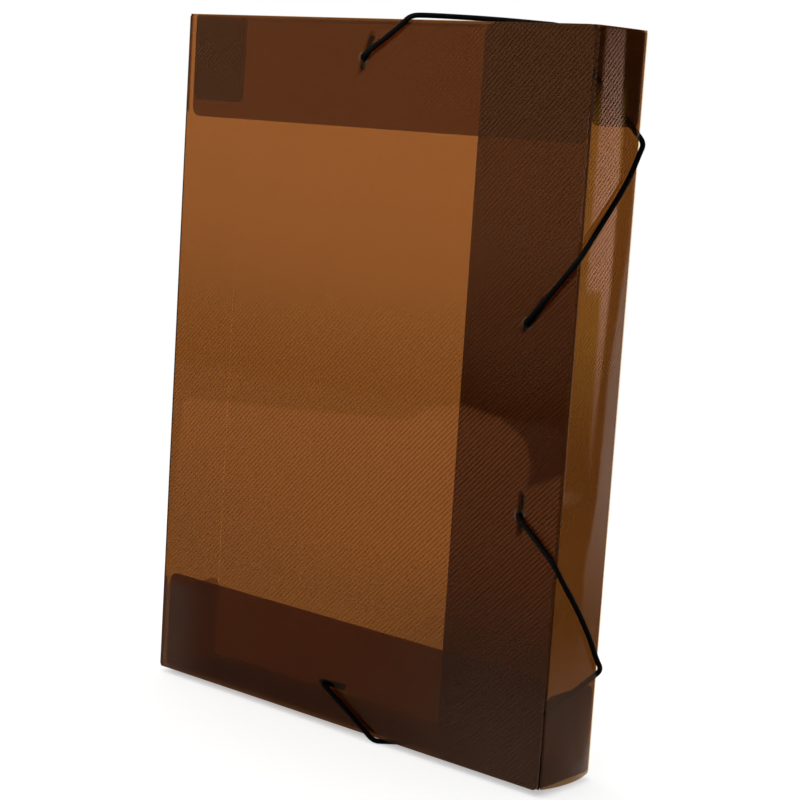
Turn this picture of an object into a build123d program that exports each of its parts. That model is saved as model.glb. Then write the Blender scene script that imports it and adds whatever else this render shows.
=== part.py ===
from build123d import *
import math
import os

# An elastic box file for A4 papers, folded from one scored sheet of translucent polypropylene.
# It stands upright: X is its width, with the spine at -X, Y is its depth, with the front cover
# at -Y, and Z is its height. The lower elastic passes under the bottom wall, so the walls start
# one cord above the floor.

# Driving dimensions, in millimetres
width = 245.0
height = 335.0
depth = 40.0
sheet = 0.6

# Layers under the front cover
end_bar_room = 1.5
layer_gap = 0.2

# Free corners and edges of the panels. The end laps fold inwards by end_lap_fold degrees, until
# their edges meet the back, so they start that much further from their creases.
cover_corner = 3.0
side_lap_width = 60.0
side_lap_corner = 6.0
end_lap_depth = 50.0
end_lap_corner = 5.0
end_lap_fold = 45.0
lap_tab_gap = 0.4
tab_length = 42.0
tab_corner = 4.0
tab_side_gap = 0.5

# Creases, each a round bead on the line that the two panels turn about
crease_gap = 0.1
crease_end_gap = 1.0

# The side wall bows outwards, most of all at its open bottom edge
bow_bottom = 3.2
bow_pressed = 0.8
bow_top = 0.5
bow_pressed_height = 52.0

# Elastics and their end bars
cord_diameter = 2.4
cord_seat = 0.15
edge_bend = 3.5
hole_bend = 1.6
cord_hole_diameter = 4.0
rim_diameter = 6.6
rim_height = 0.3
end_bar_length = 17.0
end_bar_width = 3.0
end_bar_thickness = 1.2
end_bar_gap = 0.1

# Where the elastics pass through the cover, from its open side and from its nearer end
upper_hole_from_side = 128.0
upper_hole_from_end = 18.0
upper_side_hole_from_side = 24.0
upper_side_hole_from_end = 129.0
lower_side_hole_from_side = 20.5
lower_side_hole_from_end = 121.5
lower_hole_from_side = 129.0
lower_hole_from_end = 18.4

# Where the elastics cross the box's edges, from its open side and from its nearer end
upper_front_edge_from_side = 106.0
upper_back_edge_from_side = 38.0
upper_back_edge_from_end = 49.0
upper_side_edge_from_end = 104.0
lower_side_edge_from_end = 102.0
lower_back_edge_from_end = 57.0
lower_back_edge_from_side = 49.0
lower_front_edge_from_side = 99.0

# The box's outer faces
cord_stand = cord_seat + cord_diameter
left = -(width + bow_pressed + cord_stand) / 2
right = left + width
front = -depth / 2
back = depth / 2
bottom = cord_stand
top = bottom + height

# The middle planes of the panels, which the creases lie on
half_sheet = sheet / 2
panel_start = half_sheet + crease_gap
end_lap_start = half_sheet / math.tan(math.radians(90 - end_lap_fold) / 2) + crease_gap
spine_x = left + half_sheet
side_x = right - half_sheet
cover_y = front + half_sheet
side_lap_y = front + sheet + end_bar_room + half_sheet
end_lap_y = side_lap_y + sheet + layer_gap
back_y = back - half_sheet
floor_z = bottom + half_sheet
roof_z = top - half_sheet
left_tab_x = spine_x + sheet + layer_gap
right_tab_x = side_x - sheet - layer_gap


def round_corners(sketch, radius, low_x=None, high_x=None, low_y=None, high_y=None):
    """Rounds those corners of a flat panel that lie on the free edges given."""
    points = sketch.vertices()
    if low_x is not None:
        points = points.filter_by(lambda v: v.X < low_x)
    if high_x is not None:
        points = points.filter_by(lambda v: v.X > high_x)
    if low_y is not None:
        points = points.filter_by(lambda v: v.Y < low_y)
    if high_y is not None:
        points = points.filter_by(lambda v: v.Y > high_y)
    fillet(points, radius=radius)


def save(piece, name):
    """Labels a finished piece and writes it under its node's name."""
    piece.part.label = name
    export_step(piece.part, f"parts/{name}.step")


# The planes of the panels: local X runs along the box, local Y up it
def upright_plane(y):
    """A plane across the box at this depth, looking from behind, so that its X is the box's X."""
    return Plane(origin=(0, y, 0), x_dir=(1, 0, 0), z_dir=(0, -1, 0))


def side_plane(x):
    """A plane along the box's depth at this width: local X is the box's Y, local Y its Z."""
    return Plane(origin=(x, 0, 0), x_dir=(0, 1, 0), z_dir=(1, 0, 0))


def level_plane(z):
    """A level plane at this height."""
    return Plane.XY.offset(z)


def flat_panel(low_x, high_x, low_y, high_y):
    """A rectangle between these limits in the plane of the current sketch."""
    with Locations(((low_x + high_x) / 2, (low_y + high_y) / 2)):
        Rectangle(high_x - low_x, high_y - low_y)


os.makedirs("parts", exist_ok=True)

# Back panel
with BuildPart() as back_panel:
    with BuildSketch(upright_plane(back_y)):
        flat_panel(spine_x + panel_start, side_x - panel_start, floor_z + panel_start, roof_z - panel_start)
    extrude(amount=half_sheet, both=True)
save(back_panel, "back_panel")

# Spine, the wall between the back and the cover
with BuildPart() as spine_wall:
    with BuildSketch(side_plane(spine_x)):
        flat_panel(cover_y + panel_start, back_y - panel_start, bottom, top)
    extrude(amount=half_sheet, both=True)
save(spine_wall, "spine_wall")

# Front cover, with a raised rim round each of the four cord holes
hole_places = [
    (right - upper_hole_from_side, top - upper_hole_from_end),
    (right - upper_side_hole_from_side, top - upper_side_hole_from_end),
    (right - lower_side_hole_from_side, bottom + lower_side_hole_from_end),
    (right - lower_hole_from_side, bottom + lower_hole_from_end),
]
with BuildPart() as front_cover:
    with BuildSketch(upright_plane(cover_y)) as cover_outline:
        flat_panel(spine_x + panel_start, right, bottom, top)
        round_corners(cover_outline, cover_corner, high_x=right - sheet)
    extrude(amount=half_sheet, both=True)
    with BuildSketch(upright_plane(front)):
        with Locations(hole_places):
            Circle(rim_diameter / 2)
    extrude(amount=rim_height)
    fillet(front_cover.faces().sort_by(Axis.Y)[:4].edges(), radius=rim_height * 0.6)
    with BuildSketch(upright_plane(front + sheet)):
        with Locations(hole_places):
            Circle(cord_hole_diameter / 2)
    extrude(amount=sheet + rim_height, mode=Mode.SUBTRACT)
save(front_cover, "front_cover")


def bowed_section(z, bow):
    """The side wall's section at one height: a thin strip between two arcs that bow outwards."""
    near = side_lap_y + panel_start
    far = back_y - panel_start
    middle = (near + far) / 2
    with BuildSketch(level_plane(z)) as section:
        with BuildLine():
            ThreePointArc((right, near), (right + bow, middle), (right, far))
            Line((right, far), (right - sheet, far))
            ThreePointArc((right - sheet, far), (right - sheet + bow, middle), (right - sheet, near))
            Line((right - sheet, near), (right, near))
        make_face()
    return section


# Side wall, on the open side of the box
wall_sections = [
    bowed_section(bottom, bow_bottom).sketch.face(),
    bowed_section(bottom + bow_pressed_height, bow_pressed).sketch.face(),
    bowed_section(top, bow_top).sketch.face(),
]
with BuildPart() as side_wall:
    loft(wall_sections, ruled=True)
save(side_wall, "side_wall")

# Side lap, folded from the side wall in under the cover
with BuildPart() as side_lap:
    with BuildSketch(upright_plane(side_lap_y)) as side_lap_outline:
        flat_panel(right - side_lap_width, side_x - panel_start, bottom, top)
        round_corners(side_lap_outline, side_lap_corner, low_x=right - side_lap_width + sheet)
    extrude(amount=half_sheet, both=True)
save(side_lap, "side_lap")

# Top and bottom walls, between the two pairs of corner tabs
for name, z in (("top_wall", roof_z), ("bottom_wall", floor_z)):
    with BuildPart() as end_wall:
        with BuildSketch(level_plane(z)):
            flat_panel(
                left_tab_x + panel_start,
                right_tab_x - panel_start,
                end_lap_y + panel_start,
                back_y - panel_start,
            )
        extrude(amount=half_sheet, both=True)
    save(end_wall, name)

# Top and bottom laps, the innermost layer of the front
lap_left = left_tab_x + half_sheet + lap_tab_gap
lap_right = right_tab_x - half_sheet - lap_tab_gap
with BuildPart() as top_lap:
    with BuildSketch(upright_plane(end_lap_y)) as top_lap_outline:
        flat_panel(lap_left, lap_right, top - end_lap_depth, roof_z - end_lap_start)
        round_corners(top_lap_outline, end_lap_corner, low_y=top - end_lap_depth + sheet)
    extrude(amount=half_sheet, both=True)
save(top_lap, "top_lap")

with BuildPart() as bottom_lap:
    with BuildSketch(upright_plane(end_lap_y)) as bottom_lap_outline:
        flat_panel(lap_left, lap_right, floor_z + end_lap_start, bottom + end_lap_depth)
        round_corners(bottom_lap_outline, end_lap_corner, high_y=bottom + end_lap_depth - sheet)
    extrude(amount=half_sheet, both=True)
save(bottom_lap, "bottom_lap")

# Corner tabs, on the ends of the top and bottom walls, inside the spine and the side wall
tab_near = end_lap_y + panel_start + tab_side_gap
tab_far = back_y - panel_start - tab_side_gap
for name, x, up in (
    ("top_spine_tab", left_tab_x, True),
    ("top_side_tab", right_tab_x, True),
    ("bottom_spine_tab", left_tab_x, False),
    ("bottom_side_tab", right_tab_x, False),
):
    with BuildPart() as corner_tab:
        with BuildSketch(side_plane(x)) as tab_outline:
            if up:
                flat_panel(tab_near, tab_far, top - tab_length, roof_z - panel_start)
                round_corners(tab_outline, tab_corner, low_y=top - tab_length + sheet)
            else:
                flat_panel(tab_near, tab_far, floor_z + panel_start, bottom + tab_length)
                round_corners(tab_outline, tab_corner, high_y=bottom + tab_length - sheet)
        extrude(amount=half_sheet, both=True)
    save(corner_tab, name)

# Crease beads: each name with its two ends
low_z = bottom + crease_end_gap
high_z = top - crease_end_gap
tab_low = tab_near + crease_end_gap
tab_high = tab_far - crease_end_gap
wall_low = left_tab_x + crease_end_gap
wall_high = right_tab_x - crease_end_gap
lap_low = lap_left + crease_end_gap
lap_high = lap_right - crease_end_gap
creases = {
    "back_spine_crease": ((spine_x, back_y, low_z), (spine_x, back_y, high_z)),
    "spine_cover_crease": ((spine_x, cover_y, low_z), (spine_x, cover_y, high_z)),
    "back_side_crease": ((side_x, back_y, low_z), (side_x, back_y, high_z)),
    "side_lap_crease": ((side_x, side_lap_y, low_z), (side_x, side_lap_y, high_z)),
    "back_top_crease": ((wall_low, back_y, roof_z), (wall_high, back_y, roof_z)),
    "top_lap_crease": ((lap_low, end_lap_y, roof_z), (lap_high, end_lap_y, roof_z)),
    "back_bottom_crease": ((wall_low, back_y, floor_z), (wall_high, back_y, floor_z)),
    "bottom_lap_crease": ((lap_low, end_lap_y, floor_z), (lap_high, end_lap_y, floor_z)),
    "top_spine_tab_crease": ((left_tab_x, tab_low, roof_z), (left_tab_x, tab_high, roof_z)),
    "top_side_tab_crease": ((right_tab_x, tab_low, roof_z), (right_tab_x, tab_high, roof_z)),
    "bottom_spine_tab_crease": ((left_tab_x, tab_low, floor_z), (left_tab_x, tab_high, floor_z)),
    "bottom_side_tab_crease": ((right_tab_x, tab_low, floor_z), (right_tab_x, tab_high, floor_z)),
}
for name, (start, end) in creases.items():
    run = Vector(*end) - Vector(*start)
    with BuildPart() as crease:
        with BuildSketch(Plane(origin=start, z_dir=tuple(run))):
            Circle(half_sheet)
        extrude(amount=run.length)
    save(crease, name)

# Elastics. Each starts and ends at its end bar behind the cover, comes out through its hole,
# and is pulled tight round three edges of the box.
cord_reach = cord_seat + cord_diameter / 2
front_run_y = front - cord_reach
rim_run_y = front_run_y - rim_height
back_run_y = back + cord_reach
side_run_x = right + bow_pressed + cord_reach
roof_run_z = top + cord_reach
floor_run_z = bottom - cord_reach
end_bar_y = front + sheet + end_bar_gap + end_bar_thickness / 2
cord_start_y = front + sheet + end_bar_gap


def elastic_route(first_hole, edge_crossings, last_hole):
    """The corner points of one elastic, from behind the cover round the box and back behind it."""
    inside_first = (first_hole[0], cord_start_y, first_hole[1])
    outside_first = (first_hole[0], rim_run_y, first_hole[1])
    outside_last = (last_hole[0], rim_run_y, last_hole[1])
    inside_last = (last_hole[0], cord_start_y, last_hole[1])
    return [inside_first, outside_first, *edge_crossings, outside_last, inside_last]


upper_route = elastic_route(
    hole_places[0],
    [
        (right - upper_front_edge_from_side, front_run_y, roof_run_z),
        (right - upper_back_edge_from_side, back_run_y, roof_run_z),
        (side_run_x, back_run_y, top - upper_back_edge_from_end),
        (side_run_x, front_run_y, top - upper_side_edge_from_end),
    ],
    hole_places[1],
)
lower_route = elastic_route(
    hole_places[2],
    [
        (side_run_x, front_run_y, bottom + lower_side_edge_from_end),
        (side_run_x, back_run_y, bottom + lower_back_edge_from_end),
        (right - lower_back_edge_from_side, back_run_y, floor_run_z),
        (right - lower_front_edge_from_side, front_run_y, floor_run_z),
    ],
    hole_places[3],
)
bend_radii = [hole_bend, edge_bend, edge_bend, edge_bend, edge_bend, hole_bend]
for name, route in (("upper_elastic", upper_route), ("lower_elastic", lower_route)):
    with BuildPart() as elastic:
        with BuildLine() as path:
            FilletPolyline(*route, radius=bend_radii)
        with BuildSketch(Plane(origin=route[0], z_dir=(0, -1, 0))):
            Circle(cord_diameter / 2)
        sweep()
    save(elastic, name)
    length = path.wires()[0].length
    expected = math.pi * cord_diameter**2 / 4 * length
    print(name, "length", round(length, 1), "radii", bend_radii)
    print(name, "volume", round(elastic.part.volume, 1), "section times length", round(expected, 1))

# End bars: flat bars with rounded ends, as thick as the room between the cover and the laps allows.
# Each leans by its own angle and has slid a little along itself, so that it lies off its hole's centre.
for name, place, lean, slide in (
    ("upper_top_end_bar", hole_places[0], 70, 2.5),
    ("upper_side_end_bar", hole_places[1], 55, 4.5),
    ("lower_side_end_bar", hole_places[2], 90, 0.5),
    ("lower_bottom_end_bar", hole_places[3], 3, 3.5),
):
    bar_plane = Plane(origin=(place[0], end_bar_y, place[1]), x_dir=(1, 0, 0), z_dir=(0, -1, 0))
    slide_x = slide * math.cos(math.radians(lean))
    slide_z = slide * math.sin(math.radians(lean))
    with BuildPart() as end_bar:
        with BuildSketch(bar_plane):
            with Locations((slide_x, slide_z)):
                SlotOverall(end_bar_length, end_bar_width, rotation=lean)
        extrude(amount=end_bar_thickness / 2, both=True)
        fillet(end_bar.faces().filter_by(Axis.Y).edges(), radius=end_bar_thickness * 0.3)
    save(end_bar, name)
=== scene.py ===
# %% [markdown]
# An elastic box file stands upright on a pale floor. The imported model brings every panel, crease and
# elastic at its real place, and this lesson gives them their looks: tinted see-through sheet with
# pressed ribs, black braided elastics, studio light and the camera of the photograph.

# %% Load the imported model
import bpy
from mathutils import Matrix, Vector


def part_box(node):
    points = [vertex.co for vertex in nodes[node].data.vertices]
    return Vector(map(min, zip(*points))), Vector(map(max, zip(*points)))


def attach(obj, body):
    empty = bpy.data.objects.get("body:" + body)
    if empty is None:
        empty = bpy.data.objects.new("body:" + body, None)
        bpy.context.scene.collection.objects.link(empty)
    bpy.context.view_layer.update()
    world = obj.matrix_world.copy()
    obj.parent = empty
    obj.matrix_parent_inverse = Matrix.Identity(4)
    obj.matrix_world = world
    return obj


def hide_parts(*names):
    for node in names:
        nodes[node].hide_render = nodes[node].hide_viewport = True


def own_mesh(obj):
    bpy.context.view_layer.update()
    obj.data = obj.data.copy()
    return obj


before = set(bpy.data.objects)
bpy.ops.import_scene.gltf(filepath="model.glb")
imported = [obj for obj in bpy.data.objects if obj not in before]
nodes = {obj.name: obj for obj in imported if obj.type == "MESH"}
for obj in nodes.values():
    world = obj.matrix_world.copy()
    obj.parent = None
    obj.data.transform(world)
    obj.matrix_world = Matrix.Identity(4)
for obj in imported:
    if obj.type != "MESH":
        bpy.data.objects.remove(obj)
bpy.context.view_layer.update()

import math
import bpy
from mathutils import Matrix, Vector

scene = bpy.context.scene
mm = 0.001
print("CAD nodes:", len(nodes))

# %% [markdown]
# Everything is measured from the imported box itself. The cover's outer face is the front, the back
# panel's is the back, and the walls start one cord above the floor, because the lower elastic passes
# under them.

# %% Measure the box
cover_low, cover_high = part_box("front_cover")
back_low, back_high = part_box("back_panel")
spine_low, spine_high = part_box("spine_wall")
rim_height = 0.3 * mm
sheet = spine_high.x - spine_low.x
left = spine_low.x
right = cover_high.x
front = cover_low.y + rim_height
back = back_high.y
bottom = cover_low.z
top = cover_high.z
print("width", right - left, "height", top - bottom, "depth", back - front)

# %% [markdown]
# The camera stands right of the box, a little below its top, and looks down and to the left. Its
# place comes from the box's own corners in the photograph, so the same lens and roll give the same
# outline. A camera looks along its own -Z, so its matrix takes right, up and backwards as columns.

# %% The camera
picture_width = 800
focal_length_px = 1951.6
camera_from_corner = Vector((722.6, -683.0, 294.3)) * mm
camera_yaw = math.radians(39.893)
camera_pitch = math.radians(-8.437)
camera_roll = math.radians(3.675)

camera_data = bpy.data.cameras.new("camera")
camera_data.sensor_width = 36
camera_data.lens = camera_data.sensor_width * focal_length_px / picture_width
camera = bpy.data.objects.new("camera", camera_data)
scene.collection.objects.link(camera)
turn = Matrix.Rotation(camera_yaw, 4, "Z") @ Matrix.Rotation(math.pi / 2 + camera_pitch, 4, "X")
turn = turn @ Matrix.Rotation(camera_roll, 4, "Z")
camera.matrix_world = Matrix.Translation(Vector((left, front, bottom)) + camera_from_corner) @ turn
scene.camera = camera
print("camera at", tuple(round(v, 3) for v in camera.matrix_world.translation))

# %% [markdown]
# Shader maths reads best as plain sums. This small class wraps a socket, so that an expression such
# as 1 - mask adds the Math nodes by itself. Any other node comes from one method that takes its type,
# its settings and the values or links of its sockets.

# %% Shader maths as expressions
white = (1, 1, 1, 1)


class Field:
    """A number or vector that changes over a surface, held by one output socket."""

    def __init__(self, material, socket):
        self.material = material
        self.socket = socket

    def maths(self, operation, *others):
        inputs = dict(enumerate((self, *others)))
        return self.material.add("ShaderNodeMath", {"operation": operation}, inputs)

    def __add__(self, other):
        return self.maths("ADD", other)

    def __sub__(self, other):
        return self.maths("SUBTRACT", other)

    def __mul__(self, other):
        return self.maths("MULTIPLY", other)

    def __rsub__(self, other):
        return (self * -1) + other

    __radd__ = __add__
    __rmul__ = __mul__

    def part(self, name):
        """Another output of the same node, such as the Y of a separated vector."""
        return Field(self.material, self.socket.node.outputs[name])


class Finish:
    """A material under construction."""

    def __init__(self, name):
        self.data = bpy.data.materials.new(name)
        self.data.use_nodes = True
        self.tree = self.data.node_tree
        self.tree.nodes.clear()

    def add(self, kind, settings=None, inputs=None, output=0):
        node = self.tree.nodes.new(kind)
        for name, value in (settings or {}).items():
            setattr(node, name, value)
        for name, value in (inputs or {}).items():
            if isinstance(value, Field):
                self.tree.links.new(value.socket, node.inputs[name])
            else:
                node.inputs[name].default_value = value
        return Field(self, node.outputs[output])

    def surface(self, shader):
        output = self.tree.nodes.new("ShaderNodeOutputMaterial")
        self.tree.links.new(shader.socket, output.inputs["Surface"])
        return self.data

    def place(self):
        """The three object coordinates, in metres."""
        coordinates = self.add("ShaderNodeTexCoord", output="Object")
        x = self.add("ShaderNodeSeparateXYZ", inputs={0: coordinates})
        return x, x.part("Y"), x.part("Z")

    def colours(self, share, low, high):
        """A colour between two others, by a share from 0 to 1."""
        return self.add("ShaderNodeMix", {"data_type": "RGBA"}, {0: share, 6: low, 7: high}, output=2)

    def clear(self, tint):
        """Light goes straight through and takes this tint."""
        return self.add("ShaderNodeBsdfTransparent", inputs={"Color": tint})

    def glow(self, strength, colour=white):
        return self.add("ShaderNodeEmission", inputs={"Color": colour, "Strength": strength})

    def mix(self, share, first, second):
        """The first shader where share is 0, the second where it is 1."""
        return self.add("ShaderNodeMixShader", inputs={0: share, 1: first, 2: second})

    def ramp(self, value, start, end):
        """0 at start and 1 at end, with a smooth change between them. End may be the lower one."""
        return self.add(
            "ShaderNodeMapRange",
            {"interpolation_type": "SMOOTHSTEP"},
            {"Value": value, "From Min": start, "From Max": end},
        )

    def noise(self, scale, detail=2.0, stretch=(1, 1, 1)):
        coordinates = self.add("ShaderNodeTexCoord", output="Object")
        mapped = self.add("ShaderNodeMapping", inputs={"Vector": coordinates, "Scale": stretch})
        return self.add("ShaderNodeTexNoise", inputs={"Vector": mapped, "Scale": scale, "Detail": detail})


# %% [markdown]
# The sheet is polypropylene, tinted smoke brown, with fine slanted ribs pressed into it. Light goes
# straight through and is tinted once at each face, so a sheet, with two faces, tints twice, and panels
# that lie behind each other grow darker by themselves. The rest of each face is a glossy plastic that
# the lamps light, and a share says how much of the face that is. It is larger on the rims of the holes,
# and it grows low down and in two low corners of the cover, where it paints shade. The laps and tabs
# have deeper tints of their own.

# %% The colours of the sheet
rib_pitch = 1.8 * mm
sheet_tint = (0.825, 0.615, 0.39, 1)
back_tint = (0.80, 0.61, 0.42, 1)
side_tint = (0.72, 0.53, 0.32, 1)
side_lap_tint = (0.33, 0.235, 0.15, 1)
end_lap_tint = (0.46, 0.34, 0.22, 1)
tab_tint = (0.34, 0.29, 0.22, 1)
low_tab_tint = (0.80, 0.72, 0.66, 1)
hem_tint = tuple(one * other for one, other in zip(sheet_tint, end_lap_tint))
# The plastic's two body colours over the ribs: their brown is the sheet's own, and their difference is a
# painted glint.
rib_body_painted_glint = (0.034, 0.0122, 0.0045, 1)
groove_body_painted_glint = (0.114, 0.041, 0.0153, 1)
gloss_tint = (1.0, 0.56, 0.36, 1)
rim_colour = (0.11, 0.075, 0.052, 1)
bar_shadow = (0.004, 0.002, 0.001, 1)
print("sheet tint", sheet_tint[:3])

# %% [markdown]
# The cover carries marks at known places. Each hole has a pale raised rim, and the cord pulls the
# sheet in round it. Each end bar shows through, and a painted shadow darkens the cover along it as a
# stroke, whose line is read from the bar's own corners. Where the two end laps stop short of the
# cover's edge, the cover has a darker hem.

# %% Places on the cover
hole_spots = ((-7.175, 319.55), (96.825, 208.55), (100.325, 124.05), (-8.175, 20.95))
hole_places = [Vector((x, 0, z)) * mm for x, z in hole_spots]
top_lap_low, top_lap_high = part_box("top_lap")
bottom_lap_low, bottom_lap_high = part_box("bottom_lap")
bar_lines = []
for name in nodes:
    if name.endswith("_end_bar"):
        corners = [nodes[name].matrix_world @ vertex.co for vertex in nodes[name].data.vertices]
        middle = sum(corners, Vector()) / len(corners)
        one_end = max(corners, key=lambda corner: (corner - middle).length)
        other_end = max(corners, key=lambda corner: (corner - one_end).length)
        bar_lines.append((one_end, other_end))
print("holes", len(hole_places), "bars", len(bar_lines))


def distance_from_hole(place, hole):
    reach_x = place["x"] - hole.x
    reach_z = place["z"] - hole.z
    return (reach_x * reach_x + reach_z * reach_z).maths("SQRT")


def distance_from_bar(place, start, end):
    run = (end - start).length
    step = (end - start) / run
    from_x = place["x"] - start.x
    from_z = place["z"] - start.z
    along = (from_x * step.x + from_z * step.z).maths("MAXIMUM", 0).maths("MINIMUM", run)
    off_x = from_x - along * step.x
    off_z = from_z - along * step.z
    return (off_x * off_x + off_z * off_z).maths("SQRT")


def hem_share(finish, place):
    """1 beside the two end laps and below the lower one, where no lap backs the cover."""
    soft = 0.2 * mm
    round_start, round_end = 1 * mm, 3 * mm
    beside = finish.ramp(place["x"], top_lap_low.x + soft, top_lap_low.x - soft)
    up_there = finish.ramp(place["z"], top_lap_low.z + round_start, top_lap_low.z + round_end)
    down_there = finish.ramp(
        place["z"], bottom_lap_high.z - round_start, bottom_lap_high.z - round_end
    )
    below = finish.ramp(place["z"], bottom_lap_low.z + soft, bottom_lap_low.z - soft)
    return (beside * (up_there + down_there)).maths("MAXIMUM", below)


# %% [markdown]
# One function makes the finish of every panel. A sine over the slanted line gives the ribs: it is 1
# on a rib and 0 in the groove beside it. The relief goes to the bump, and the ribs also let a little
# less light through. High up on an upright panel that turns round, as the photograph's ribs do. The
# plastic's brown body also alternates between rib and groove, which paints a glint along the ribs.

# %% The finish of a panel
rib_height = 0.004 * mm
wave_height = 0.5 * mm
haze_share = 0.03
dust_share = 0.01
# Where the painted shade starts low down, and how far the cover's low-corner shades reach.
low_shade_from = 300 * mm
low_right_shade_reach = 110 * mm
low_left_shade_rise = (53 * mm, 44 * mm)
low_left_shade_run = (-92 * mm, -118 * mm)
pull_reach = 45 * mm
pull_depth = 1.2 * mm
rim_edge = (3.3 * mm, 3.0 * mm)
rim_share = 0.05
bar_edge = (2.3 * mm, 1.2 * mm)
turn_rise = (170 * mm, 250 * mm)
turn_strength = 0.7
faint_rise = (40 * mm, 90 * mm)
faint_ribs = 0.55


def sheet_finish(
    name, across, up, solid=0.2, tint=sheet_tint, gloss=0.4,
    rib_slant=1.0, rib_shade=0.865, rib_gloss=0.0,
    wear_and_painted_shade=0.0, painted_low_right_shade=0.0, corner=0.0, hemmed=False, holes=(), bars=(),
):
    """The sheet on a panel whose two directions are the object coordinates named by across and up.

    solid is the share of glossy plastic, and rib_gloss is how much that share varies over the ribs.
    Three more shares add painted shade to it: low down, low at the right and in the lower left corner.
    """
    finish = Finish(name)
    place = dict(zip("xyz", finish.place()))
    line = (place[across] * rib_slant - place[up]) * (2 * math.pi / (rib_pitch * math.sqrt(2)))
    rib = line.maths("SINE") * 0.5 + 0.5
    haze = finish.noise(14, 3)
    dust = finish.noise(900, 2)

    density = haze * haze_share + dust * dust_share + (solid - (haze_share + dust_share) / 2)
    if rib_gloss:
        fainter = finish.ramp(place[up], *faint_rise) * (1 - faint_ribs) + faint_ribs
        density = density + (rib - 0.5) * rib_gloss * fainter
    # Painted shade: the sheet grows darker towards the bottom.
    if wear_and_painted_shade:
        density = density + finish.ramp(place[up], low_shade_from, 0) * wear_and_painted_shade
    # Painted shade low at the right of the panel.
    if painted_low_right_shade:
        low = finish.ramp(place[up], low_right_shade_reach, 0)
        density = density + low * finish.ramp(place[across], 0, low_right_shade_reach) * painted_low_right_shade
    # Painted shade in the panel's lower left corner.
    if corner:
        low_left_shade = finish.ramp(place[up], *low_left_shade_rise) * finish.ramp(place[across], *low_left_shade_run)
        density = density + low_left_shade * corner

    slow = finish.noise(7, 1, (1, 1, 0.6))
    relief = rib * rib_height + slow * wave_height
    # The body colour alternates over the ribs, a painted glint.
    colour = finish.colours(rib, groove_body_painted_glint, rib_body_painted_glint)
    for hole in holes:
        distance = distance_from_hole(place, hole)
        relief = relief - finish.ramp(distance, pull_reach, 0) * pull_depth
        rim = finish.ramp(distance, *rim_edge)
        density = density + rim * rim_share
        colour = finish.colours(rim, colour, rim_colour)
    # Along each end bar the plastic turns near black: a painted shadow of the bar.
    for start, end in bars:
        stroke = finish.ramp(distance_from_bar(place, start, end), *bar_edge)
        colour = finish.colours(stroke, colour, bar_shadow)
    bump = finish.add("ShaderNodeBump", inputs={"Height": relief, "Distance": 1.0, "Strength": 0.6})
    plastic = finish.add(
        "ShaderNodeBsdfPrincipled",
        inputs={
            "Base Color": colour,
            "Roughness": haze * 0.05 + 0.03,
            "IOR": 1.5,
            "Specular IOR Level": gloss,
            "Specular Tint": gloss_tint,
            "Normal": bump,
        },
    )

    thin_tint = tuple(min(1, part * (2 - rib_shade) ** 0.5) for part in tint[:3]) + (1,)
    deep_tint = tuple(part * rib_shade for part in tint[:3]) + (1,)
    deeper = rib
    if up == "z":
        high = finish.ramp(place["z"], *turn_rise)
        deeper = rib * (1 - high) + (1 - rib) * high * turn_strength
    clear = finish.mix(deeper, finish.clear(thin_tint), finish.clear(deep_tint))
    if hemmed:
        clear = finish.mix(hem_share(finish, place), clear, finish.clear(hem_tint))
    return finish.surface(finish.mix(density, clear, plastic))


print("ribs every", round(rib_pitch / mm, 1), "mm")

# %% [markdown]
# Now each panel gets its sheet. Upright panels face along Y or X, so their ribs run over X and Z or
# over Y and Z, and the two end walls lie flat. The lower spine tab is paler than the other tabs.

# %% Dress the panels
def dress(name, material):
    """Gives a CAD node its finish."""
    piece = nodes[name]
    piece.data.materials.clear()
    piece.data.materials.append(material)


# The cover takes painted shade low at the right and in its lower left corner.
cover_sheet = sheet_finish(
    "sheet_cover", "x", "z", painted_low_right_shade=0.38, corner=0.34, hemmed=True, holes=hole_places, bars=bar_lines
)
# The back panel and the spine grow darker towards the bottom, a painted shade.
back_look = {"solid": 0.08, "tint": back_tint, "rib_shade": 0.95, "wear_and_painted_shade": 0.2}
back_sheet = sheet_finish("sheet_back", "x", "z", rib_slant=-1.0, **back_look)
spine_sheet = sheet_finish("sheet_spine", "y", "z", **back_look)
side_sheet = sheet_finish(
    "sheet_side", "y", "z", 0.33, side_tint, rib_shade=0.97, rib_gloss=0.56, gloss=0.75
)
side_lap_sheet = sheet_finish("sheet_side_lap", "x", "z", 0.05, side_lap_tint, rib_shade=1.0)
end_lap_sheet = sheet_finish("sheet_end_lap", "x", "z", 0.05, end_lap_tint, rib_shade=1.0)
tab_sheet = sheet_finish("sheet_tab", "y", "z", 0.05, tab_tint, rib_shade=1.0)
low_tab_sheet = sheet_finish("sheet_low_tab", "y", "z", 0.05, low_tab_tint, rib_shade=1.0)
end_sheet = sheet_finish("sheet_end", "x", "y", 0.12, end_lap_tint)
panel_sheets = {
    "front_cover": cover_sheet,
    "back_panel": back_sheet,
    "spine_wall": spine_sheet,
    "side_lap": side_lap_sheet,
    "top_lap": end_lap_sheet,
    "bottom_lap": end_lap_sheet,
    "top_spine_tab": tab_sheet,
    "top_side_tab": tab_sheet,
    "bottom_side_tab": tab_sheet,
    "bottom_spine_tab": low_tab_sheet,
    "top_wall": end_sheet,
    "bottom_wall": end_sheet,
}
for name, material in panel_sheets.items():
    dress(name, material)
print("sheet panels dressed:", len(panel_sheets))

# %% [markdown]
# The side wall is held only by its creases and the elastics, so it bows outwards, a little along most
# of its height and more at its open bottom edge. Its long reflections show the least facet, so it is
# modelled here as a fine grid: one flat sheet, moved out along two smooth curves, and then given its
# thickness inwards and a tiny round on its edges.

# %% The bowed side wall
wall_low, wall_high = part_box("side_wall")
bow_along = 0.65 * mm
bow_at_bottom = 2.55 * mm
bow_reach = 24 * mm

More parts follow.
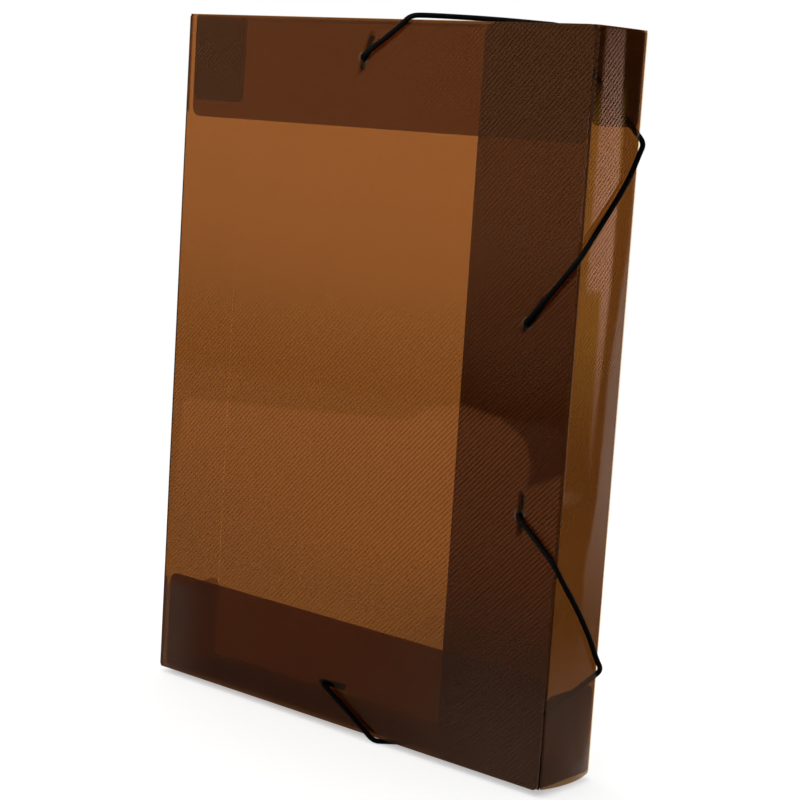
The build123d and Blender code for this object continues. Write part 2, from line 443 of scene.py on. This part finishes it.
bpy.ops.object.select_all(action="DESELECT")
bpy.ops.mesh.primitive_grid_add(x_subdivisions=40, y_subdivisions=300, size=1, location=(0, 0, 0))
side_wall = bpy.context.object
side_wall.name = "bowed_side_wall"
for point in side_wall.data.vertices:
    share = point.co.x + 0.5
    up_share = point.co.y + 0.5
    z = wall_low.z + up_share * (wall_high.z - wall_low.z)
    bow = bow_along + bow_at_bottom * math.exp(-(((z - wall_low.z) / bow_reach) ** 2))
    arch = 4 * share * (1 - share)
    point.co = (right + bow * arch, wall_low.y + share * (wall_high.y - wall_low.y), z)
for kind, settings in (
    ("SOLIDIFY", {"thickness": sheet, "offset": -1.0}),
    ("BEVEL", {"width": 0.12 * mm, "segments": 2, "limit_method": "ANGLE"}),
):
    modifier = side_wall.modifiers.new(kind.title(), kind)
    for key, value in settings.items():
        setattr(modifier, key, value)
    bpy.ops.object.modifier_apply(modifier=modifier.name)
bpy.ops.object.shade_smooth_by_angle(angle=math.radians(40))
side_wall.data.materials.append(side_sheet)
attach(side_wall, "open_side")
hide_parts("side_wall")
print("side wall bow:", round((max(v.co.x for v in side_wall.data.vertices) - right) / mm, 2), "mm")

# %% [markdown]
# A crease is the same sheet pressed thin. Those round the back panel let most light through and show
# as fine pale lines, the three on the cover's own edges are near black, painted shade along the fold,
# and the rest are brown.

# %% The creases
def crease_finish(name, body, tint, share, shine=1.0):
    finish = Finish(name)
    wear = finish.noise(300, 2)
    plastic = finish.add(
        "ShaderNodeBsdfPrincipled",
        inputs={"Base Color": body, "Roughness": wear * 0.15 + 0.18, "Specular IOR Level": shine},
    )
    return finish.surface(finish.mix(wear * 0.06 + share, finish.clear(tint), plastic))


pale_crease = crease_finish("pale_crease", (0.50, 0.30, 0.17, 1), (1.0, 0.88, 0.72, 1), 0.05)
dark_crease = crease_finish("dark_crease", (0.22, 0.12, 0.065, 1), sheet_tint, 0.3)
# A near-black crease: painted shade along the cover's folded edges.
painted_shade_crease = crease_finish(
    "painted_shade_crease", (0.03, 0.013, 0.007, 1), (0.5, 0.34, 0.2, 1), 0.5, shine=0.2
)
for name in nodes:
    if name.endswith("_crease"):
        dress(name, pale_crease if name.startswith("back_") else dark_crease)
# The cover's three edge creases take the painted shade.
for name in ("spine_cover_crease", "side_lap_crease", "bottom_lap_crease"):
    dress(name, painted_shade_crease)
print("creases dressed:", sum(name.endswith("_crease") for name in nodes))

# %% [markdown]
# The cord ends are dark moulded bars. They show through the cover, and a painted shadow makes them darker
# strokes.

# %% The end bars
def bar_finish():
    finish = Finish("dark_bar")
    grain = finish.noise(1500, 3)
    bump = finish.add("ShaderNodeBump", inputs={"Height": grain, "Distance": 0.05 * mm, "Strength": 0.4})
    return finish.surface(
        finish.add(
            "ShaderNodeBsdfPrincipled",
            inputs={
                "Base Color": (0.004, 0.003, 0.003, 1),
                "Roughness": grain * 0.2 + 0.45,
                "IOR": 1.2,
                "Specular IOR Level": 0.1,
                "Normal": bump,
            },
        )
    )


bar_material = bar_finish()
for name in nodes:
    if name.endswith("_end_bar"):
        dress(name, bar_material)
print("end bars dressed:", len(bar_lines))

# %% [markdown]
# Each elastic is a round cord in a braided cover, whose strands run round it both ways. The finish
# multiplies two slanted sines, and reads them from a UV map that counts once round the cord and once
# for every braid length, so that the strands follow the cord through every bend.

# %% The braid finish
strands = 8
strand_height = 0.16 * mm
fibre_height = 0.03 * mm


def braid_finish():
    finish = Finish("black_braid")
    coordinates = finish.add("ShaderNodeUVMap", {"uv_map": "braid"})
    across = finish.add("ShaderNodeSeparateXYZ", inputs={0: coordinates})
    along = across.part("Y")
    right_hand = ((across * strands + along) * (2 * math.pi)).maths("SINE")
    left_hand = ((across * strands - along) * (2 * math.pi)).maths("SINE")
    strand = right_hand * left_hand * 0.5 + 0.5
    fibre = finish.noise(3500, 2)
    relief = strand * strand_height + fibre * fibre_height
    bump = finish.add("ShaderNodeBump", inputs={"Height": relief, "Distance": 1.0, "Strength": 0.8})
    deep_black, worn_black = (0.0005, 0.0004, 0.0004, 1), (0.0045, 0.0036, 0.0032, 1)
    wear_and_painted_shade = finish.colours(strand * 0.5 + fibre * 0.3, deep_black, worn_black)
    return finish.surface(
        finish.add(
            "ShaderNodeBsdfPrincipled",
            inputs={
                "Base Color": wear_and_painted_shade,
                "Roughness": 0.6 - strand * 0.2,
                "IOR": 1.15,
                "Specular IOR Level": 0.1,
                "Normal": bump,
            },
        )
    )


braid_material = braid_finish()
print("braid strands each way:", strands)

# %% [markdown]
# The cord comes out of its hole, crosses four edges of the box under tension and goes back in through
# the other hole, so its line is taut between the edges and bends only there. A NURBS curve of order 3
# gives that line, and a tube with the braid's UV map is laid along points read from the curve.

# %% The taut tubes
cord_diameter = 2.4 * mm
braid_length = 1.7 * mm
ring_step = 0.7 * mm
ring_sides = 20


def points_along(control_points):
    """Points read from a NURBS curve of order 3 through this control polygon."""
    data = bpy.data.curves.new("route", "CURVE")
    data.dimensions = "3D"
    data.resolution_u = 24
    spline = data.splines.new("NURBS")
    spline.points.add(len(control_points) - 1)
    for point, place in zip(spline.points, control_points):
        point.co = (place[0] * mm, place[1] * mm, place[2] * mm, 1)
    spline.order_u = 3
    spline.use_endpoint_u = True
    carrier = bpy.data.objects.new("route", data)
    scene.collection.objects.link(carrier)
    bpy.context.view_layer.update()
    evaluated = carrier.evaluated_get(bpy.context.evaluated_depsgraph_get())
    line = bpy.data.meshes.new_from_object(evaluated)
    points = [vertex.co.copy() for vertex in line.vertices]
    bpy.data.objects.remove(carrier)
    bpy.data.meshes.remove(line)
    return points


def evenly(points, step):
    """The same line with its points a constant step apart."""
    lengths = [0.0]
    for start, end in zip(points, points[1:]):
        lengths.append(lengths[-1] + (end - start).length)
    count = round(lengths[-1] / step)
    even = []
    place = 0
    for number in range(count + 1):
        target = lengths[-1] * number / count
        while place < len(points) - 2 and lengths[place + 1] < target:
            place += 1
        share = (target - lengths[place]) / max(lengths[place + 1] - lengths[place], 1e-9)
        even.append(points[place].lerp(points[place + 1], share))
    return even, lengths[-1]


def braided_tube(name, control_points):
    """A closed round tube along the curve, with its braid UV map."""
    path, length = evenly(points_along(control_points), ring_step)
    side = Vector((1, 0, 0))
    vertices = []
    for number, point in enumerate(path):
        ahead = path[min(number + 1, len(path) - 1)] - path[max(number - 1, 0)]
        ahead.normalize()
        side = (side - ahead * side.dot(ahead)).normalized()
        over = ahead.cross(side)
        for turn in range(ring_sides):
            angle = 2 * math.pi * turn / ring_sides
            outwards = side * math.cos(angle) + over * math.sin(angle)
            vertices.append(point + outwards * (cord_diameter / 2))
    faces = []
    marks = []
    braids_a_ring = length / (len(path) - 1) / braid_length
    for ring in range(len(path) - 1):
        for turn in range(ring_sides):
            after = (turn + 1) % ring_sides
            low = ring * ring_sides
            high = low + ring_sides
            faces.append((low + turn, low + after, high + after, high + turn))
            u = (turn / ring_sides, (turn + 1) / ring_sides)
            v = (ring * braids_a_ring, (ring + 1) * braids_a_ring)
            marks.extend(((u[0], v[0]), (u[1], v[0]), (u[1], v[1]), (u[0], v[1])))
    faces.append(tuple(reversed(range(ring_sides))))
    faces.append(tuple(range(len(vertices) - ring_sides, len(vertices))))
    marks.extend([(0, 0)] * (2 * ring_sides))
    data = bpy.data.meshes.new(name)
    data.from_pydata(vertices, [], faces)
    layer = data.uv_layers.new(name="braid")
    for corner, mark in zip(layer.data, marks):
        corner.uv = mark
    data.polygons.foreach_set("use_smooth", [True] * (len(faces) - 2) + [False] * 2)
    tube = bpy.data.objects.new(name, data)
    scene.collection.objects.link(tube)
    data.materials.append(braid_material)
    print(name, "length", round(length / mm, 1), "mm")
    return tube, path


# %% [markdown]
# The points are in millimetres. Each edge of the box that the cord turns round has a point a little
# outside it and one on each side. Over the top wall the upper cord stands clear in a low arch, and on
# the side wall both lie on its bow.

# %% The upper elastic
upper_points = [
    (-7.175, -19.3, 319.55), (-7.175, -22.1, 319.55), (-3.9, -21.6, 322.0), (15.2, -21.4, 334.7),
    (20.3, -21.5, 339.1), (24.4, -16.0, 339.8), (44.0, 8.0, 340.2), (67.5, 19.3, 339.2),
    (72.0, 21.4, 338.9), (75.5, 21.4, 335.4), (118.0, 21.4, 293.4), (122.3, 21.4, 289.2),
    (122.3, 18.4, 284.4), (122.6, 12.6, 275.2), (122.8, 4.0, 265.2), (122.6, -17.0, 243.3),
    (122.5, -21.5, 238.7), (118.0, -21.5, 233.2), (99.9, -21.6, 211.9), (96.825, -22.1, 208.55),
    (96.825, -19.3, 208.55),
]
upper_elastic, upper_path = braided_tube("upper_braid", upper_points)

# %% [markdown]
# The lower cord takes the same way round the bottom right corner: from the cover over the bow of the
# side wall, behind the back panel, and under the bottom wall, where it also carries the box.

# %% The lower elastic
lower_points = [
    (100.325, -19.3, 124.05), (100.325, -22.1, 124.05), (103.2, -21.6, 121.4), (117.6, -21.5, 109.4),
    (122.5, -21.5, 105.2), (122.5, -17.5, 100.1), (122.9, -4.3, 85.2), (122.8, 8.2, 69.7),
    (122.5, 16.4, 56.9), (122.4, 21.4, 51.2), (117.6, 21.4, 46.4), (75.7, 21.5, 6.2),
    (70.8, 21.7, 1.2), (65.6, 16.9, 1.2), (30.4, -17.6, 1.2), (26.0, -21.7, 1.2),
    (20.6, -21.6, 4.4), (-4.9, -21.5, 19.2), (-8.175, -22.1, 20.95), (-8.175, -19.3, 20.95),
]
lower_elastic, lower_path = braided_tube("lower_braid", lower_points)

# %% [markdown]
# Both elastics belong to the cover and move with it. Before the box is opened they are slipped off
# its corners, and then they lie across the cover.

# %% Fix the elastics to the cover
for tube, path, node, real_length in (
    (upper_elastic, upper_path, "upper_elastic", 0.282),
    (lower_elastic, lower_path, "lower_elastic", 0.2732),
):
    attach(tube, "cover")
    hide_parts(node)
    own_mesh(tube)
    print(node, "real length", round(real_length / mm, 1), "mm")

# %% [markdown]
# The floor and the background are white to the camera. The floor still takes the box's shadow: its
# plain plastic shows wherever the light falls, and the white comes from what camera rays see. Under
# the box's footprint that glow is weaker, which paints a contact shadow.

# %% The floor
floor_size = 12.0
floor_drop = 0.0002
shadow_reach = 0.32
shadow_fade = 0.30
shadow_lift = 0.74
# Under the box's footprint the glow is weaker: a painted contact shadow.
painted_contact_shadow_glow = 0.45
edge_outer = 0.004
edge_inner = 0.006
box_reach_x = (right - left) / 2
box_reach_y = (back - front) / 2


def floor_finish():
    finish = Finish("white_floor")
    x, y, height = finish.place()
    distance = (x * x + y * y).maths("SQRT")
    away = finish.ramp(distance, shadow_reach, shadow_reach + shadow_fade)
    along = finish.ramp(x.maths("ABSOLUTE"), box_reach_x + edge_outer, box_reach_x - edge_inner)
    across = finish.ramp(y.maths("ABSOLUTE"), box_reach_y + edge_outer, box_reach_y - edge_inner)
    seen = finish.add("ShaderNodeLightPath", output="Is Camera Ray")
    mirrored = seen.part("Is Glossy Ray").maths("MAXIMUM", seen.part("Is Transmission Ray"))
    plain = finish.add(
        "ShaderNodeBsdfPrincipled", inputs={"Base Color": (0.8, 0.8, 0.8, 1), "Roughness": 0.7}
    )
    glow = finish.glow(1.0)
    # Inside the footprint the glow drops, which paints a contact shadow.
    glow_with_painted_contact_shadow = finish.mix(along * across, finish.glow(shadow_lift), finish.glow(painted_contact_shadow_glow))
    near = finish.add("ShaderNodeAddShader", inputs={0: plain, 1: glow_with_painted_contact_shadow})
    lit = finish.mix(seen, plain, finish.mix(away, near, glow))
    return finish.surface(finish.mix(mirrored, lit, glow))


bpy.ops.object.select_all(action="DESELECT")
bpy.ops.mesh.primitive_plane_add(size=floor_size, location=(0, 0, -floor_drop))
floor = bpy.context.object
floor.name = "floor"
floor.data.materials.append(floor_finish())
print("floor", floor_size, "m wide")

# %% [markdown]
# The world is white to the camera and in reflections, where a strength of 1 is white. Everything else
# gets a fifth of that as soft light from all round.

# %% The world
soft_light = 0.2
world = bpy.data.worlds.new("studio")
scene.world = world
world.use_nodes = True
tree = world.node_tree
rays = tree.nodes.new("ShaderNodeLightPath")
background = tree.nodes["Background"]
background.inputs["Color"].default_value = white
value = rays.outputs["Is Camera Ray"]
for other in ("Is Glossy Ray", "Is Transmission Ray"):
    either = tree.nodes.new("ShaderNodeMath")
    either.operation = "MAXIMUM"
    tree.links.new(value, either.inputs[0])
    tree.links.new(rays.outputs[other], either.inputs[1])
    value = either.outputs[0]
strength = tree.nodes.new("ShaderNodeMath")
strength.operation = "MULTIPLY_ADD"
strength.inputs[1].default_value = 1 - soft_light
strength.inputs[2].default_value = soft_light
tree.links.new(value, strength.inputs[0])
tree.links.new(strength.outputs[0], background.inputs["Strength"])
print("world strength to other rays", soft_light)


# %% [markdown]
# Three lamps light the sheet itself: a soft one above, and two spots from the front left. The high
# spot aims over the box, so that the lower edge of its cone lights the upper half. The low one lights
# the lower part of the cover, and a small card close to it, called the flag, cuts its light to the
# soft shape in the photograph.

# %% The lamps
def lamp(kind, name, place, aim, watts, **settings):
    data = bpy.data.lights.new(name, kind)
    data.energy = watts
    for key, value in settings.items():
        setattr(data, key, value)
    holder = bpy.data.objects.new(name, data)
    scene.collection.objects.link(holder)
    facing = (Vector(aim) - Vector(place)).to_track_quat("-Z", "Y").to_matrix().to_4x4()
    holder.matrix_world = Matrix.Translation(Vector(place)) @ facing
    return holder


lamp(
    "AREA", "top_lamp", (-0.1, -0.02, 1.4), (0, 0.02, 0), 4,
    shape="RECTANGLE", size=0.7, size_y=0.6,
)
lamp(
    "SPOT", "front_spot", (-0.3, -1.3, 1.0), (0, -0.02, 0.78), 210,
    spot_size=math.radians(45.8), spot_blend=0.22, shadow_soft_size=0.05, color=(0.75, 0.95, 1.0),
)
low_place = Vector((-0.3, -1.3, 0.3))
low_spot = lamp(
    "SPOT", "low_spot", low_place, (0, -0.02, 0.165), 115,
    spot_size=math.radians(9.0), spot_blend=1.0, shadow_soft_size=0.0002,
)
low_spot.scale = (4, 1, 1)

# %% [markdown]
# What the glossy faces mirror is set by boards, as a studio photographer would place them. They stand
# outside the picture, and only glossy rays see them. Their glow is graded: the front board and the
# strip brighten with height, and the two mats on the floor are white near the box.

# %% Boards and their glow
def board(name, corners, material):
    """A flat studio board that only reflections show."""
    data = bpy.data.meshes.new(name)
    data.from_pydata([Vector(corner) for corner in corners], [], [tuple(range(len(corners)))])
    panel = bpy.data.objects.new(name, data)
    scene.collection.objects.link(panel)
    data.materials.append(material)
    panel.visible_camera = False
    panel.visible_diffuse = False
    panel.visible_shadow = False
    panel.visible_transmission = False
    return panel


pale_light = (0.66, 0.88, 1.0, 1)


def glow_finish(name, strength, colour=white):
    finish = Finish(name)
    return finish.surface(finish.glow(strength, colour))


def graded_finish(name, strength, colour, low, high=None):
    """Dark at the foot, bright over the heights in low, and dark again over those in high."""
    finish = Finish(name)
    height = finish.place()[2]
    share = finish.ramp(height, *low)
    if high:
        share = share * finish.ramp(height, *high)
    return finish.surface(finish.mix(share, finish.glow(0.0), finish.glow(strength, colour)))


def reach_from_side_wall(finish):
    x, y, height = finish.place()
    from_side = x - right
    return (from_side * from_side + y * y).maths("SQRT")


def side_mat_finish():
    """White near the box and dark far out."""
    finish = Finish("mat_board")
    share = finish.ramp(reach_from_side_wall(finish), 0.30, 0.06)
    return finish.surface(finish.mix(share, finish.glow(0.0), finish.glow(1.0)))


def pale_mat_finish():
    """Warm white near the box, dim between and pale far out."""
    finish = Finish("pale_mat")
    reach = reach_from_side_wall(finish)
    far = finish.mix(
        finish.ramp(reach, 0.2, 0.75), finish.glow(0.3, pale_light), finish.glow(1.85, pale_light)
    )
    near = finish.glow(0.9, (1, 0.86, 0.74, 1))
    return finish.surface(finish.mix(finish.ramp(reach, 0.30, 0.06), far, near))


front_y = -0.86
board(
    "front_board",
    [(-1.3, front_y, 0), (-0.3, front_y, 0), (-0.3, front_y, 0.7), (-1.3, front_y, 0.7)],
    graded_finish("front_board", 1.2, white, (-0.03, 0.17)),
)
dark_board = glow_finish("dark_board", 0.0)
pale_board = glow_finish("pale_board", 1.85, pale_light)
print("front board placed")

# %% [markdown]
# The flag's edge is drawn on the cover first, in millimetres across and up, and then moved most of
# the way towards the lamp, so that its shadow falls on that line. The lamp is tiny, which keeps the
# shadow's edge crisp.

# %% The flag
flag_edge = [
    (-160, 60), (-123, 78), (-119, 105), (-116.5, 144), (-113, 145.4), (-15.3, 152.3),
    (31.3, 156.0), (45.5, 164.2), (63.9, 167.8), (85.7, 165.2), (100.2, 157.6), (104.4, 147.2),
    (102.6, 136.6), (110.0, 139.6), (120.2, 145.0), (160, 160),
]
flag_share = 0.12
flag_rise = 0.08
flag_corners = [low_place.lerp(Vector((x * mm, front, z * mm)), flag_share) for x, z in flag_edge]
flag_top = flag_corners[0].z + flag_rise
for corner in (flag_corners[-1], flag_corners[0]):
    flag_corners.append(Vector((corner.x, corner.y, flag_top)))
flag = board("flag", flag_corners, dark_board)
flag.visible_glossy = False
flag.visible_shadow = True
print("flag corners", len(flag_corners))

# %% [markdown]
# The side wall mirrors what stands to the right and behind. A dark board and a pale one meet there in
# a slanted line, an amber board and the pale strip stand just ahead of them, and two mats lie on the
# floor in front. Side boards are drawn in metres across and up, mats as bearings and reaches.

# %% The boards beside the side wall
strip_bearing = math.radians(54.9)
strip_distance = 0.7
board_step = 0.005
floor_clearance = 0.0004
to_strip = Vector((math.cos(strip_bearing), math.sin(strip_bearing), 0))
strip_centre = Vector((right, 0, 0)) + to_strip * strip_distance
strip_across = Vector((-math.sin(strip_bearing), math.cos(strip_bearing), 0))


def side_board(name, outline, material, ahead=0):
    """A board beside the side wall, a few steps ahead of the others where it overlaps them."""
    nearer = to_strip * (-board_step * ahead)
    corners = [strip_centre + strip_across * across + Vector((0, 0, up)) + nearer for across, up in outline]
    return board(name, corners, material)


def floor_board(name, corners, material):
    """A board lying on the floor; each corner is a bearing from the side wall and a reach."""
    outline = []
    for bearing, reach in corners:
        angle = math.radians(bearing)
        outline.append((right + reach * math.cos(angle), reach * math.sin(angle), floor_clearance))
    return board(name, outline, material)


side_board(
    "side_dark",
    [(-0.16, 0), (0.06, 0), (0.07, 0.1), (0.12, 0.2), (0.125, 0.6), (-0.16, 0.6)],
    dark_board,
)
side_board("side_pale", [(0.06, 0), (0.07, 0.1), (0.12, 0.2), (0.3, 0.2), (0.3, 0)], pale_board)
side_board(
    "side_amber",
    [(-0.16, 0), (0.010, 0), (0.014, 0.02), (0.044, 0.165), (0.048, 0.35), (-0.16, 0.35)],
    graded_finish("amber_board", 1.5, (1, 0.8, 0.15, 1), (0.02, 0.15), (0.33, 0.29)),
    ahead=1,
)
side_board(
    "side_strip",
    [
        (-0.072, 0.165), (-0.002, 0.165), (0.004, 0.02), (0.012, 0.02), (0.040, 0.165),
        (0.042, 0.25), (0.022, 0.34), (0.010, 0.42), (-0.072, 0.42),
    ],
    graded_finish("strip_board", 3.5, (1, 0.85, 0.78, 1), (-0.03, 0.2), (0.48, 0.25)),
    ahead=2,
)
floor_board("side_mat", [(10, 0.05), (10, 0.72), (60, 0.72), (57, 0.45), (57, 0.05)], side_mat_finish())
floor_board("pale_mat", [(60, 0.72), (57, 0.45), (57, 0.05), (80, 0.05), (80, 0.72)], pale_mat_finish())
print("boards placed")

# %% [markdown]
# Standard keeps colours as they are written. Light passes many sheets one behind the other, so more
# clear bounces are allowed, and the noise filter works from the picture alone, which suits the ribs.

# %% Picture settings
scene.view_settings.view_transform = "Standard"
scene.cycles.transparent_max_bounces = 32
scene.cycles.denoising_input_passes = "RGB"
print("view transform", scene.view_settings.view_transform)
